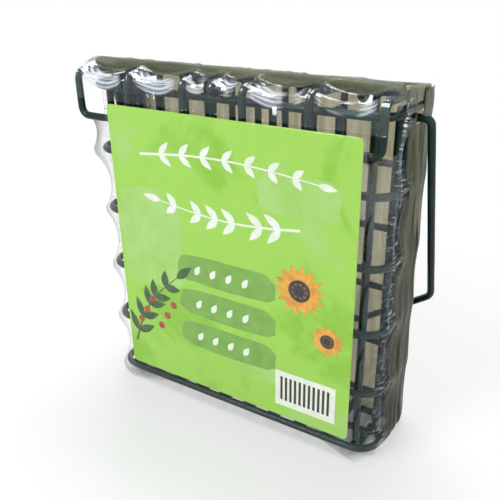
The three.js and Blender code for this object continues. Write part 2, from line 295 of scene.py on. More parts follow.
@dataclass(frozen=True)
class PrintedCard:
    """Coated card stock, offset printed: bright green with paler washes and a faint paper tooth.

    A real tooth is about 0.1 mm, too fine to show, so it is drawn several times coarser.
    """

    name: str = "printed_card"
    deep: str = "#8FC832"
    base: str = "#A3D850"
    pale: str = "#ABD770"
    wash_mm: float = 46.0
    tooth_mm: float = 0.7
    tooth_depth_mm: float = 0.05

    def material(self) -> bpy.types.Material:
        """Builds the card's material."""
        material, tree = new_material(self.name)
        place = add_node(tree, "ShaderNodeTexCoord").outputs["Object"]
        wash = add_node(tree, "ShaderNodeTexNoise",
                        {"Scale": 1 / (self.wash_mm * MM), "Detail": 5.0, "Roughness": 0.62,
                         "Distortion": 0.5}, {"Vector": place})
        colour = add_node(tree, "ShaderNodeValToRGB", links={0: wash},
                          stops=[(0.38, self.deep), (0.47, self.base), (0.55, self.base),
                                 (0.62, self.pale)])
        tooth = add_node(tree, "ShaderNodeTexNoise", {"Scale": 1 / (self.tooth_mm * MM)},
                         {"Vector": place})
        bump = add_node(tree, "ShaderNodeBump",
                        {"Strength": 0.08, "Distance": self.tooth_depth_mm * MM}, {"Height": tooth})
        shader = add_node(tree, "ShaderNodeBsdfPrincipled",
                          {"Roughness": 0.42, "IOR": 1.48, "Specular IOR Level": 0.3},
                          {"Base Color": colour, "Normal": bump})
        add_node(tree, "ShaderNodeOutputMaterial", links={"Surface": shader})
        return material


@dataclass(frozen=True)
class PrintedInk:
    """A solid printed ink on the card, with the slight unevenness of a dry brush."""

    name: str
    light: str
    dark: str
    grain_mm: float = 2.5

    def material(self) -> bpy.types.Material:
        """Builds the ink's material."""
        material, tree = new_material(self.name)
        place = add_node(tree, "ShaderNodeTexCoord").outputs["Object"]
        grain = add_node(tree, "ShaderNodeTexNoise",
                         {"Scale": 1 / (self.grain_mm * MM), "Detail": 4.0}, {"Vector": place})
        colour = add_node(tree, "ShaderNodeValToRGB", links={0: grain},
                          stops=[(0.35, self.dark), (0.65, self.light)])
        shader = add_node(tree, "ShaderNodeBsdfPrincipled", {"Roughness": 0.45, "IOR": 1.48},
                          {"Base Color": colour})
        add_node(tree, "ShaderNodeOutputMaterial", links={"Surface": shader})
        return material


INKS = (
    PrintedInk("ink_white", "#F6FAEE", "#E9F2DC"),
    PrintedInk("ink_brush_green", "#83B645", "#74A53C", 6.0),
    PrintedInk("ink_pale_green", "#ADD873", "#A0D158", 9.0),
    PrintedInk("ink_leaf", "#3F6A2A", "#274C22"),
    PrintedInk("ink_twig", "#7A5A3C", "#59402B"),
    PrintedInk("ink_berry", "#C24A35", "#8E2B22"),
    PrintedInk("ink_petal", "#F2B63A", "#DE8C26"),
    PrintedInk("ink_seed", "#2B241D", "#15120F"),
)


def place_piece(mesh: bpy.types.Mesh, name: str, material: bpy.types.Material, body: Body,
                nodes: Sequence[str] = ()) -> bpy.types.Object:
    """Puts a finished mesh in the scene, on its body and the nodes that it replaces.

    Args:
        mesh: The mesh, with its place in its vertices.
        name: The piece's name.
        material: Its only material.
        body: The body it rides on.
        nodes: CAD nodes that it replaces.

    Returns:
        The piece's object.
    """
    mesh.materials.clear()
    mesh.materials.append(material)
    piece = bpy.data.objects.new(name, mesh)
    bpy.context.scene.collection.objects.link(piece)
    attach(piece, body.value)
    if nodes:
        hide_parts(*nodes)
    LOG.info("piece %s: %d faces on %s", name, len(mesh.polygons), body.value)
    return piece


def draft_object(mesh: bpy.types.Mesh) -> bpy.types.Object:
    """Links a passing object that only carries modifiers until its mesh is settled."""
    draft = bpy.data.objects.new("draft", mesh)
    bpy.context.scene.collection.objects.link(draft)
    return draft


def settle(draft: bpy.types.Object, smooth: bool = True) -> bpy.types.Mesh:
    """Turns a draft object with modifiers into a plain mesh and removes the draft."""
    graph = bpy.context.evaluated_depsgraph_get()
    mesh = bpy.data.meshes.new_from_object(draft.evaluated_get(graph))
    bpy.data.objects.remove(draft)
    for polygon in mesh.polygons:
        polygon.use_smooth = smooth
    return mesh


def merged(node: str) -> bmesh.types.BMesh:
    """Copies a CAD node's loose triangles and merges their corners."""
    build = bmesh.new()
    build.from_mesh(FRAME["nodes"][node].data)
    bmesh.ops.remove_doubles(build, verts=build.verts, dist=MERGE_DISTANCE)
    return build


def finished(build: bmesh.types.BMesh, name: str) -> bpy.types.Mesh:
    """Writes a build to a new mesh and frees the build."""
    mesh = bpy.data.meshes.new(name)
    build.to_mesh(mesh)
    build.free()
    return mesh


@dataclass
class Layout:
    """Places of the wires and of the card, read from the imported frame."""

    half_width: float = field(init=False)
    half_depth: float = field(init=False)
    hinge_y: float = field(init=False)
    rim_z: float = field(init=False)
    hoop_z: list[float] = field(init=False)
    upright_x: list[float] = field(init=False)
    upright_y: float = field(init=False)
    long_base_z: float = field(init=False)
    cross_x: float = field(init=False)
    cross_y: list[float] = field(init=False)
    cross_base_z: float = field(init=False)
    lid_half: float = field(init=False)
    lid_top_z: float = field(init=False)
    lip_y: float = field(init=False)
    lip_bar_z: float = field(init=False)
    slat_x: list[float] = field(init=False)
    card_low: Sequence[float] = field(init=False)
    card_high: Sequence[float] = field(init=False)

    def __post_init__(self) -> None:
        """Reads the boxes of the nodes."""
        low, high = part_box("rim_hoop")
        self.half_width = high[0] - FLAT_RADIUS
        self.half_depth = self.hinge_y = high[1] - FLAT_RADIUS
        self.rim_z = (low[2] + high[2]) / 2
        self.hoop_z = [*self.middles("hoop_", 2), self.rim_z]
        low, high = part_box("long_wire_1")
        self.upright_x = self.middles("long_wire_", 0)
        self.upright_y = high[1] - FLAT_RADIUS
        self.long_base_z = low[2] + FLAT_RADIUS
        low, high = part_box("cross_wire_1")
        self.cross_x = high[0] - FLAT_RADIUS
        self.cross_y = self.middles("cross_wire_", 1)
        self.cross_base_z = low[2] + FLAT_RADIUS
        low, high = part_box("lid_frame")
        self.lid_half = high[0] - FLAT_RADIUS
        self.lid_top_z = high[2]
        self.lip_y = low[1] + FLAT_RADIUS
        self.lip_bar_z = low[2] + FLAT_RADIUS
        self.slat_x = [-self.lid_half, *self.middles("lid_slat_", 0), self.lid_half]
        self.card_low, self.card_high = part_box("label_card")

    @staticmethod
    def middles(prefix: str, axis: int) -> list[float]:
        """Middles, along an axis, of the nodes whose names start with a prefix, in order."""
        boxes = [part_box(node) for node in FRAME["nodes"] if node.startswith(prefix)]
        return sorted((low[axis] + high[axis]) / 2 for low, high in boxes)


@dataclass
class CoatedWires:
    """Every wire of the feeder, as a round coat over its CAD sweep."""

    coating: bpy.types.Material
    ring_step: float = 6 * MM
    facet_angle: float = math.radians(24)
    lump: float = 0.07 * MM
    lump_spacing: float = 11 * MM
    levels: int = 2

    def round_mesh(self, node: str) -> bpy.types.Mesh:
        """Rounds a faceted sweep without moving its run.

        Args:
            node: The CAD node's name.

        Returns:
            A smooth round mesh with domed ends.
        """
        build = merged(node)
        bmesh.ops.join_triangles(build, faces=build.faces, angle_face_threshold=self.facet_angle,
                                 angle_shape_threshold=math.pi, cmp_seam=False, cmp_sharp=False,
                                 cmp_uvs=False, cmp_vcols=False, cmp_materials=False)
        runs: dict[int, list[bmesh.types.BMEdge]] = {}
        for edge in build.edges:
            cuts = int(edge.calc_length() / self.ring_step)
            if cuts:
                runs.setdefault(cuts, []).append(edge)
        for cuts, edges in runs.items():
            bmesh.ops.subdivide_edges(build, edges=edges, cuts=cuts, use_grid_fill=True)
        build.normal_update()
        # Subdivision pulls the section's corners in to this share, so they are swollen beforehand
        shrink = (2 + math.cos(2 * math.pi / SECTION_SIDES)) / 3
        swell = WIRE_RADIUS * (1 / shrink - 1)
        for vert in build.verts:
            wobble = noise.noise(vert.co / self.lump_spacing) * self.lump
            vert.co += vert.normal * (swell + wobble)
        draft = draft_object(finished(build, "wire"))
        smooth = draft.modifiers.new("round", "SUBSURF")
        smooth.levels = smooth.render_levels = self.levels
        return settle(draft)

    def dress(self, nodes: Iterable[str], body: Body) -> None:
        """Coats the named wires and hides their CAD solids."""
        for node in nodes:
            place_piece(self.round_mesh(node), f"{node}_coated", self.coating, body, [node])


@dataclass
class WeldFillets:
    """Beads of coating where wires cross, laid by Geometry Nodes on the crossing points."""

    coating: bpy.types.Material
    layout: Layout
    radius: float = 2.05 * MM
    least: float = 0.92
    most: float = 1.1
    rounds: int = 3
    seed: int = 7
    under_bar: float = 0.1 * MM

    def tree(self) -> bpy.types.NodeTree:
        """Builds the node tree: a bead on each point, slightly varied, realised and dressed."""
        tree = bpy.data.node_groups.new("weld_fillets", "GeometryNodeTree")
        for name, way, kind in (("Geometry", "INPUT", "Geometry"), ("Radius", "INPUT", "Float"),
                                ("Seed", "INPUT", "Int"), ("Geometry", "OUTPUT", "Geometry")):
            tree.interface.new_socket(name, in_out=way, socket_type=f"NodeSocket{kind}")
        given = add_node(tree, "NodeGroupInput").outputs
        bead = add_node(tree, "GeometryNodeMeshIcoSphere", {"Subdivisions": self.rounds},
                        {"Radius": given["Radius"]})
        vary = add_node(tree, "FunctionNodeRandomValue",
                        {"data_type": "FLOAT_VECTOR", 0: (self.least,) * 3, 1: (self.most,) * 3},
                        {"Seed": given["Seed"]})
        beads = add_node(tree, "GeometryNodeInstanceOnPoints",
                         links={"Points": given["Geometry"], "Instance": bead, "Scale": vary})
        solid = add_node(tree, "GeometryNodeRealizeInstances", links={"Geometry": beads})
        dressed = add_node(tree, "GeometryNodeSetMaterial", {"Material": self.coating},
                           {"Geometry": solid})
        add_node(tree, "NodeGroupOutput", links={"Geometry": dressed})
        return tree

    def cage_points(self) -> list[Vector]:
        """Midpoints between the crossing wires of the cage."""
        plan = self.layout
        points = []
        for z in plan.hoop_z:
            for side in (-1, 1):
                y = side * (plan.half_depth + plan.upright_y) / 2
                points += [Vector((x, y, z)) for x in plan.upright_x]
                x = side * (plan.half_width + plan.cross_x) / 2
                points += [Vector((x, y, z)) for y in plan.cross_y]
        base = (plan.long_base_z + plan.cross_base_z) / 2
        points += [Vector((x, y, base)) for x in plan.upright_x for y in plan.cross_y]
        return points

    def lid_points(self) -> list[Vector]:
        """Midpoints between the lid's slats and its cross bar, and above its lip bar."""
        plan = self.layout
        low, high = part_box("lid_cross_bar")
        bar_y = (low[1] + high[1]) / 2
        points = [Vector((x, bar_y, low[2] - self.under_bar)) for x in plan.slat_x]
        lip_z = plan.lip_bar_z + WIRE_RADIUS
        points += [Vector((x, plan.lip_y, lip_z)) for x in plan.slat_x[1:-1]]
        return points

    def dress(self) -> None:
        """Lays the beads of the cage and of the lid."""
        tree = self.tree()
        sizes = {"Radius": self.radius, "Seed": self.seed}
        for body, points in ((Body.CAGE, self.cage_points()), (Body.LID, self.lid_points())):
            mesh = bpy.data.meshes.new("crossings")
            mesh.from_pydata(points, [], [])
            draft = draft_object(mesh)
            modifier = draft.modifiers.new("beads", "NODES")
            modifier.node_group = tree
            for item in tree.interface.items_tree:
                if item.in_out == "INPUT" and item.name in sizes:
                    modifier[item.identifier] = sizes[item.name]
            place_piece(settle(draft), f"{body.value}_weld_fillets", self.coating, body)


@dataclass
class FilmGrid:
    """A sheet of film laid as a grid of points, with its flat sizes and its marks such as haze."""

    points: np.ndarray
    flat: np.ndarray
    marks: dict[str, np.ndarray]
    closed: bool
    thickness: float = 0.12 * MM

    def mesh(self) -> bpy.types.Mesh:
        """Builds the sheet as a thin closed solid with its UV map and an attribute for each mark."""
        rows, columns = self.points.shape[:2]
        index = np.arange(rows * columns).reshape(rows, columns)
        last = columns if self.closed else columns - 1
        faces = [
            (int(index[r, c]), int(index[r, (c + 1) % columns]),
             int(index[r + 1, (c + 1) % columns]), int(index[r + 1, c]))
            for r in range(rows - 1) for c in range(last)
        ]
        mesh = bpy.data.meshes.new("film")
        mesh.from_pydata([tuple(p) for p in self.points.reshape(-1, 3)], [], faces)
        sheet = mesh.uv_layers.new(name="sheet")
        flat = self.flat.reshape(-1, 2)
        for loop in mesh.loops:
            sheet.data[loop.index].uv = tuple(flat[loop.vertex_index])
        for name, values in self.marks.items():
            layer = mesh.attributes.new(name, "FLOAT", "POINT")
            layer.data.foreach_set("value", values.reshape(-1).astype(np.float32))
        draft = draft_object(mesh)
        wall = draft.modifiers.new("wall", "SOLIDIFY")
        wall.thickness = self.thickness
        wall.offset = -1
        return settle(draft)


def smooth_step(low: float, high: float, value: np.ndarray) -> np.ndarray:
    """A smooth rise from 0 at low to 1 at high."""
    share = np.clip((value - low) / (high - low), 0, 1)
    return share * share * (3 - 2 * share)


def bell(middle: float, width: float, value: np.ndarray) -> np.ndarray:
    """A bell that is 1 at its middle and falls off over its width."""
    return np.exp(-((value - middle) / width) ** 2)


def field_noise(points: np.ndarray, scale_mm: Triple, offset: float = 0.0) -> np.ndarray:
    """Perlin noise over a grid of points, with one scale in millimetres for each axis."""
    flat = points.reshape(-1, 3) / (np.array(scale_mm) * MM) + offset
    values = [noise.noise(Vector(p)) for p in flat]
    return np.array(values).reshape(points.shape[:2])


def even_spots(knots: Sequence[Pair], count: int, endpoint: bool) -> tuple[np.ndarray, np.ndarray]:
    """Lays evenly spaced points along a line of knots.

    Args:
        knots: Corners of the line.
        count: How many points to lay.
        endpoint: Whether the last point is the line's end.

    Returns:
        Distances along the line, and the points.
    """
    line = np.array(knots)
    lengths = np.concatenate([[0], np.cumsum(np.linalg.norm(np.diff(line, axis=0), axis=1))])
    spots = np.linspace(0, lengths[-1], count, endpoint=endpoint)
    return spots, np.stack([np.interp(spots, lengths, line[:, k]) for k in range(2)], 1)


@dataclass
class FilmSleeve:
    """The shrink film round the cage: clear over the card, drawn in between hoops, bunched behind.

    Shares and strengths run from 0 to 1, and heights of the cut edge are over the rim's wire.
    """

    film: bpy.types.Material
    layout: Layout
    columns: int = 330
    rows: int = 138
    base_rows: int = 10
    # Plan round the feeder
    lift: float = 0.35 * MM
    rear_bend: float = 10.5 * MM
    bend_steps: int = 8
    corner_inset: float = 4.6 * MM
    shoulder_setback: float = 6 * MM
    # Wall between the hoops: how far it is drawn in, its pleats and its broader folds
    hold: float = 1.6 * MM
    hang_power: float = 0.8
    draw_in: float = 2.2 * MM
    rear_draw: float = 0.5 * MM
    corner_draw: float = 4.2 * MM
    corner_width: float = 6 * MM
    card_edge: Pair = (0.5 * MM, 9 * MM)
    bunched_y: Pair = (-8 * MM, 4 * MM)
    pleat: float = 0.42 * MM
    pleat_share: Pair = (0.25, 1.1)
    pleat_mm: Triple = (2.2, 2.2, 30)
    fold: float = 0.35 * MM
    fold_mm: Triple = (9, 9, 16)
    card_fold: float = 0.06 * MM
    proud: float = 0.4 * MM
    tuck_y: float = -21.9 * MM
    # Foot of the wall and the gathered base
    foot_z: float = 0.3 * MM
    foot_round: float = 5 * MM
    foot_inset: float = 2.4 * MM
    base_z: float = 0.02 * MM
    base_middle: Pair = (0.0, -2 * MM)
    gathered: float = 0.995
    # Cut edge: over the side rails, round the hinge eyes, at the bail's feet, over card and lip
    side_edge: float = 5.5 * MM
    rear_depth: float = 5 * MM
    rear_edge: float = -5.8 * MM
    rear_rise: float = 8.4 * MM
    eye_room: Pair = (2.6 * MM, 5.0 * MM)
    notch_edge: float = -5.6 * MM
    notch_half: float = 3.4 * MM
    notch_depth: float = 2 * MM
    card_rise: float = 0.4 * MM
    lip_gap: float = 0.5 * MM
    margin: float = 1 * MM
    # Web that the lip pulls out under its corners
    web: Pair = (3.1 * MM, 6.6 * MM)
    web_run: float = 8 * MM
    web_fall: float = 13 * MM
    # Marks
    hazy_y: Pair = (-7 * MM, 1 * MM)
    backed: Pair = (9 * MM, 2 * MM)
    front_haze: float = 0.02
    side_haze: float = 0.93
    back_thinning: float = 0.47
    # More cover low down at the back, so the painted shade there shows darker
    low_shade_cover: float = 0.06
    web_haze: float = 0.3
    corner_haze: float = 0.15
    corner_haze_width: float = 5 * MM
    base_haze: Pair = (0.1, 0.45)
    base_haze_y: float = -12 * MM
    # Painted shade: how far the film darkens on its sides, low down and on the base
    side_shade: float = 0.62
    low_shade: float = 0.5
    base_shade: float = 0.85
    stress: float = 0.3
    stress_mm: Triple = (3, 3, 14)
    hatch_y: float = -11 * MM
    hatch_width: float = 5.5 * MM
    arc_pitch: float = 12 * MM
    side: float = field(init=False)
    back: float = field(init=False)
    front: float = field(init=False)
    corner: float = field(init=False)
    corner_y: float = field(init=False)
    shoulder_y: float = field(init=False)

    def __post_init__(self) -> None:
        """Works out where the film's sides, back, front and front corners stand."""
        plan = self.layout
        self.side = plan.half_width + WIRE_RADIUS + self.lift
        self.back = plan.half_depth + WIRE_RADIUS + self.lift
        self.front = plan.card_low[1] - self.lift
        self.corner = self.side - self.corner_inset
        self.corner_y = self.margin - self.back
        self.shoulder_y = self.shoulder_setback - plan.half_depth

    def outline(self) -> tuple[np.ndarray, np.ndarray, np.ndarray]:
        """Lays the film's plan round the feeder.

        Returns:
            Distances along the plan, its points, and their outward directions.
        """
        plan, bend = self.layout, self.rear_bend
        knots = [
            (plan.card_low[0] - self.lift, self.front), (plan.card_high[0] + self.lift, self.front),
            (self.corner, -self.back), (self.side, self.shoulder_y),
        ]
        for start, hand in ((0.0, 1), (math.pi / 2, -1)):
            for step in range(self.bend_steps + 1):
                angle = start + math.pi / 2 * step / self.bend_steps
                knots.append((hand * (self.side - bend) + bend * math.cos(angle),
                              self.back - bend + bend * math.sin(angle)))
        knots += [(-self.side, self.shoulder_y), (-self.corner, -self.back)]
        travel, ring = even_spots(knots + knots[:1], self.columns, endpoint=False)
        tangent = np.roll(ring, -2, 0) - np.roll(ring, 2, 0)
        tangent /= np.linalg.norm(tangent, axis=1, keepdims=True)
        return travel, ring, np.stack([tangent[:, 1], -tangent[:, 0]], 1)

    def top_edge(self, ring: np.ndarray) -> np.ndarray:
        """Height of the film's cut edge at each point of its plan."""
        plan = self.layout
        x, y = ring[:, 0], ring[:, 1]
        top = np.full(len(ring), plan.rim_z + self.side_edge)
        from_eye = np.min(np.abs(x[:, None] - np.array(plan.slat_x)[None]), axis=1)
        risen = self.rear_rise * smooth_step(*self.eye_room, from_eye)
        top = np.where(y > plan.half_depth - self.rear_depth, plan.rim_z + self.rear_edge + risen, top)
        left, right = plan.card_low[0] - self.margin, plan.card_high[0] + self.margin
        over_card = (x > left) & (x < right) & (y < plan.lip_y)
        under_lip = (y < self.shoulder_y + self.margin) & ~over_card
        top = np.where(under_lip, plan.lip_bar_z - WIRE_RADIUS - self.lip_gap, top)
        top = np.where(over_card, plan.card_high[2] + self.card_rise, top)
        notch = (np.abs(y) < self.notch_half) & (np.abs(x) > plan.half_width - self.notch_depth)
        return np.where(notch, plan.rim_z + self.notch_edge, top)

    def pulled(self, ring: np.ndarray, height: np.ndarray) -> np.ndarray:
        """How far the lid's lip pulls the film out under its corners, from 0 to 1."""
        plan = self.layout
        x, y = ring[None, :, 0], ring[None, :, 1]
        edge = np.where(x < 0, -plan.card_low[0], plan.card_high[0])
        run = np.clip((np.abs(x) - edge) / (self.corner - edge), 0, 1)
        reach = run * np.clip((self.shoulder_y - y) / self.web_run, 0, 1)
        return reach * np.exp(np.minimum(height - plan.lip_bar_z, 0) / self.web_fall)

    def wall(self, ring: np.ndarray, outward: np.ndarray, height: np.ndarray) -> np.ndarray:
        """Shapes the wall: flat over the card, drawn in between the hoops, webbed under the lip.

        Args:
            ring: The film's plan.
            outward: Outward directions on the plan.
            height: Height of each point, one row for each turn of the film.

        Returns:
            The wall's grid of points.
        """
        plan = self.layout
        x, y = (np.broadcast_to(ring[:, k], height.shape) for k in range(2))
        points = np.stack([x, y, height], 2)
        off_card = smooth_step(*self.card_edge, y - self.front)
        rear = smooth_step(*self.bunched_y, y)
        pitch = plan.hoop_z[1] - plan.hoop_z[0]
        between = (height - plan.hoop_z[0]) % pitch
        share = np.clip((between - self.hold) / (pitch - 2 * self.hold), 0, 1)
        hang = np.sin(np.pi * share) ** self.hang_power * (height > plan.hoop_z[0])
        depth = self.draw_in + (self.rear_draw - self.draw_in) * rear
        depth += (self.corner_draw - self.draw_in) * bell(self.corner_y, self.corner_width, y)
        least, more = self.pleat_share
        pleats = self.pleat * (least + more * rear) * field_noise(points, self.pleat_mm)
        folds = field_noise(points, self.fold_mm, 5.0)
        shift = off_card * (-depth * hang + pleats + self.fold * folds)
        shift = np.minimum(shift + (1 - off_card) * self.card_fold * folds, self.proud)
        shift -= self.foot_inset * np.clip(1 - height / self.foot_round, 0, 1) ** 2
        points[..., :2] += outward[None] * shift[..., None]
        pull = self.pulled(ring, height)
        points[..., 0] += np.sign(x) * self.web[0] * pull
        points[..., 1] -= self.web[1] * pull
        card_foot = plan.card_low[2]
        under = smooth_step(0, 1, (card_foot - height) / (card_foot - plan.hoop_z[0]))
        points[..., 1] += under * np.clip(self.tuck_y - points[..., 1], 0, None)
        return points

    def base(self, foot: np.ndarray) -> np.ndarray:
        """Gathers the foot of the wall to the middle of the floor, as rings from the middle out."""
        middle = np.array(self.base_middle)
        rings = []
        for step in range(self.base_rows, 0, -1):
            inward = step / self.base_rows
            ring = foot.copy()
            ring[:, :2] = middle + (ring[:, :2] - middle) * (1 - inward * self.gathered)
            ring[:, 2] = self.base_z + (self.foot_z - self.base_z) * (1 - inward) ** 3
            rings.append(ring)
        return np.array(rings)

    def marks(self, ring: np.ndarray, height: np.ndarray, points: np.ndarray) -> dict[str, np.ndarray]:
        """Says where the film is milky, backed, hatched or pale with stress, and where painted shade
        darkens it.

        Args:
            ring: The film's plan.
            height: Height of each point of the wall.
            points: The wall's grid of points.

        Returns:
            A grid for each mark, with the base's rings first.
        """
        x, y = (np.broadcast_to(ring[:, k], height.shape) for k in range(2))
        pull = self.pulled(ring, height)
        side = smooth_step(*self.hazy_y, y)
        back = smooth_step(self.back - self.backed[0], self.back - self.backed[1], y)
        # Painted shade, darker towards the bottom of the sides and the back
        depth = smooth_step(0, 1, 1 - height / self.layout.rim_z) * np.maximum(side, back)
        haze = self.front_haze + self.side_haze * side + self.web_haze * pull
        haze += (self.low_shade_cover * depth - self.back_thinning) * back
        haze += self.corner_haze * (x < 0) * bell(self.corner_y, self.corner_haze_width, y)
        clear, milky = self.base_haze
        streaks = np.abs(field_noise(points, self.stress_mm, 2.0))
        hatch = bell(self.hatch_y, self.hatch_width, y)
        nothing = np.zeros(self.columns)
        pairs = {
            "haze": (clear + milky * smooth_step(self.front, self.base_haze_y, y[0]), haze),
            "whitening_and_glare": (nothing, self.stress * pull * streaks),
            "backing": (back[0], back),
            # The depth mark is painted shade: strong on the base, and on the sides and low down on the
            # wall
            "depth": (nothing + self.base_shade, self.side_shade * (side - back) + self.low_shade * depth),
            "hatch": (hatch[0], hatch),
            "arc": (y[0] / self.arc_pitch, y / self.arc_pitch),
        }
        return {name: np.concatenate([np.tile(below, (self.base_rows, 1)), wall])
                for name, (below, wall) in pairs.items()}

    def dress(self) -> None:
        """Lays the sleeve's wall and its gathered base."""
        travel, ring, outward = self.outline()
        share = np.linspace(0, 1, self.rows)[:, None]
        height = self.foot_z + (self.top_edge(ring)[None, :] - self.foot_z) * share
        points = self.wall(ring, outward, height)
        base = self.base(points[0])
        flat = np.stack([np.broadcast_to(travel, height.shape), height], 2)
        grid = FilmGrid(np.concatenate([base, points]), np.concatenate([base[..., :2], flat]),
                        self.marks(ring, height, points), closed=True)
        place_piece(grid.mesh(), "film_sleeve_wrapped", self.film, Body.CAGE, ["film_sleeve"])


@dataclass
class FilmCap:
    """The shrink film over the lid: taut over each wire, sagging in arcs between them."""

    film: bpy.types.Material
    layout: Layout
    columns: int = 300
    rows: int = 90
    # Profile from the hem over the lip and the cross bar to the hinge
    lift: float = 0.3 * MM
    bar_lift: float = 0.4 * MM
    eye_rise: float = 3.35 * MM
    hinge_gap: float = 2.6 * MM
    # Sag between the wires, least at the bar, the hem and the hinge
    sag: float = 3.0 * MM
    sag_power: float = 0.75
    hold: float = 1.2 * MM
    narrow_bay: float = 20 * MM
    narrow_share: float = 0.6
    bar_hold: Pair = (1.5 * MM, 6 * MM)
    hem_hold: float = 8 * MM
    hinge_hold: float = 10 * MM
    hinge_share: float = 0.35
    hem_share: float = 0.3
    rear_easing: float = 0.4
    # Folds, ripples along the slats, and the crimped hem
    fold: float = 0.3 * MM
    fold_mm: Triple = (8, 5, 8)
    ripple: Pair = (0.1 * MM, 0.4 * MM)
    ripple_mm: Triple = (30, 2.4, 5)
    crimp: float = 0.6 * MM
    crimp_mm: Triple = (1.5, 9, 9)
    # Flaps past the lid's sides
    side_reach: float = 1.9 * MM
    flap: float = 7.5 * MM
    flap_start: Pair = (1 * MM, 4 * MM)
    flap_belly: float = 0.25 * MM
    floor_gap: float = 0.5 * MM
    hinge_taper: float = 0.025
    taper_run: float = 9 * MM
    # Haze before, at and behind the bar
    front_haze: float = 0.03
    bar_haze: float = 0.3
    bar_hazy: Pair = (-8 * MM, -2 * MM)
    bar_clear: float = 0.7
    bar_width: float = 1.6 * MM
    rear_haze: float = 0.45
    rear_hazy: Pair = (1 * MM, 6 * MM)
    # Arcs of painted highlight over the lip, in patches where the film is slack
    arc_sag: float = 0.42
    arc_top: float = 0.4
    top_margin: float = 1.5 * MM
    arc_rise: Pair = (-0.75, -0.42)
    arc_fall: Pair = (0.08, 0.3)
    glare_arcs: float = 0.8
    glare_arcs_y: Pair = (-10 * MM, -6 * MM)
    slack: Pair = (0.1, 0.6)
    patch: Pair = (-0.35, 0.2)
    patch_mm: Triple = (9, 7, 9)
    hem_z: float = field(init=False)
    bar_y: float = field(init=False)
    bar_z: float = field(init=False)
    front_y: float = field(init=False)
    front_z: float = field(init=False)

    def __post_init__(self) -> None:
        """Works out the cap's hem, its front, and its place on the cross bar."""
        plan = self.layout
        bar_low, bar_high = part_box("lid_cross_bar")
        self.hem_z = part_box("film_cap")[0][2]
        self.bar_y = (bar_low[1] + bar_high[1]) / 2
        self.bar_z = bar_high[2] + self.bar_lift
        self.front_y = plan.lip_y - WIRE_RADIUS - self.lift
        self.front_z = plan.lid_top_z + self.lift

    def profile(self) -> tuple[np.ndarray, np.ndarray, np.ndarray]:
        """Lays the cap's side view, from the hem in front of the lip to the hinge.

        Returns:
            Distances along the profile, its points in Y and Z, and their outward directions.
        """
        plan = self.layout
        y, z, bar_y, bar_z = self.front_y, self.front_z, self.bar_y, self.bar_z
        knots = [
            (y, self.hem_z + 0.1 * MM), (y, z - 3.2 * MM), (y + 0.9 * MM, z - 0.9 * MM),
            (y + 3.2 * MM, z), (bar_y - 2.2 * MM, bar_z - 0.5 * MM), (bar_y, bar_z),
            (bar_y + 2.2 * MM, bar_z - 0.4 * MM),
            (plan.hinge_y - self.hinge_gap, plan.rim_z + self.eye_rise + WIRE_RADIUS + self.lift),
        ]
        travel, path = even_spots(knots, self.rows, endpoint=True)
        tangent = np.gradient(path, axis=0)
        tangent /= np.linalg.norm(tangent, axis=1, keepdims=True)
        return travel, path, np.stack([-tangent[:, 1], tangent[:, 0]], 1)

    def hang(self, x: np.ndarray) -> np.ndarray:
        """How far the film hangs between the wires that carry it, from 0 on a wire to 1."""
        plan = self.layout
        half = len(plan.slat_x) // 2
        supports = [*plan.slat_x[:half], 0.0, *plan.slat_x[half:]]
        share = np.zeros_like(x)
        for start, end in zip(supports, supports[1:]):
            along = np.clip((x - start - self.hold) / (end - start - 2 * self.hold), 0, 1)
            narrow = self.narrow_share if end - start < self.narrow_bay else 1.0
            share += narrow * np.sin(np.pi * along) ** self.sag_power
        return share

    def drape(self, spread: np.ndarray, outward: np.ndarray, droop: np.ndarray) -> np.ndarray:
        """Lets the spread film sag, fold and droop.

        Args:
            spread: The film's grid of points, taut.
            outward: Outward directions along the profile, in Y and Z.
            droop: How much film hangs past the lid's sides at each column.

        Returns:
            The draped grid of points.
        """
        plan = self.layout
        points = spread.copy()
        x, y, z = (spread[..., k] for k in range(3))
        phase = self.hang(x)
        off_bar = smooth_step(*self.bar_hold, np.abs(y - self.bar_y))
        off_hinge = smooth_step(0, self.hinge_hold, plan.hinge_y - y)
        off_hem = smooth_step(0, self.hem_hold, z - self.hem_z)
        rear = smooth_step(self.bar_y, plan.hinge_y, y)
        shift = -self.sag * phase * off_bar * (1 - self.rear_easing * rear)
        shift *= self.hinge_share + (1 - self.hinge_share) * off_hinge
        shift *= self.hem_share + (1 - self.hem_share) * off_hem
        shift += self.fold * phase * field_noise(points, self.fold_mm, 3.0)
        shift += (self.ripple[0] + self.ripple[1] * rear) * field_noise(points, self.ripple_mm, 9.0)
        shift += self.crimp * (1 - off_hem) * field_noise(points, self.crimp_mm, 1.0)
        shift = np.minimum(shift, self.lift)
        points[..., 1:] += outward[:, None] * shift[..., None]
        floor_z = plan.rim_z + WIRE_RADIUS + self.floor_gap
        behind_lip = smooth_step(*self.flap_start, y - plan.lip_y)
        down = np.minimum(droop * behind_lip, np.clip(points[..., 2] - floor_z, 0, None))
        points[..., 2] -= down
        belly = np.sin(np.pi * np.clip(down / self.flap, 0, 1))
        points[..., 0] += np.sign(x) * self.flap_belly * belly
        near_hinge = smooth_step(plan.hinge_y - self.taper_run, plan.hinge_y, y)
        points[..., 0] *= 1 - self.hinge_taper * near_hinge
        return points

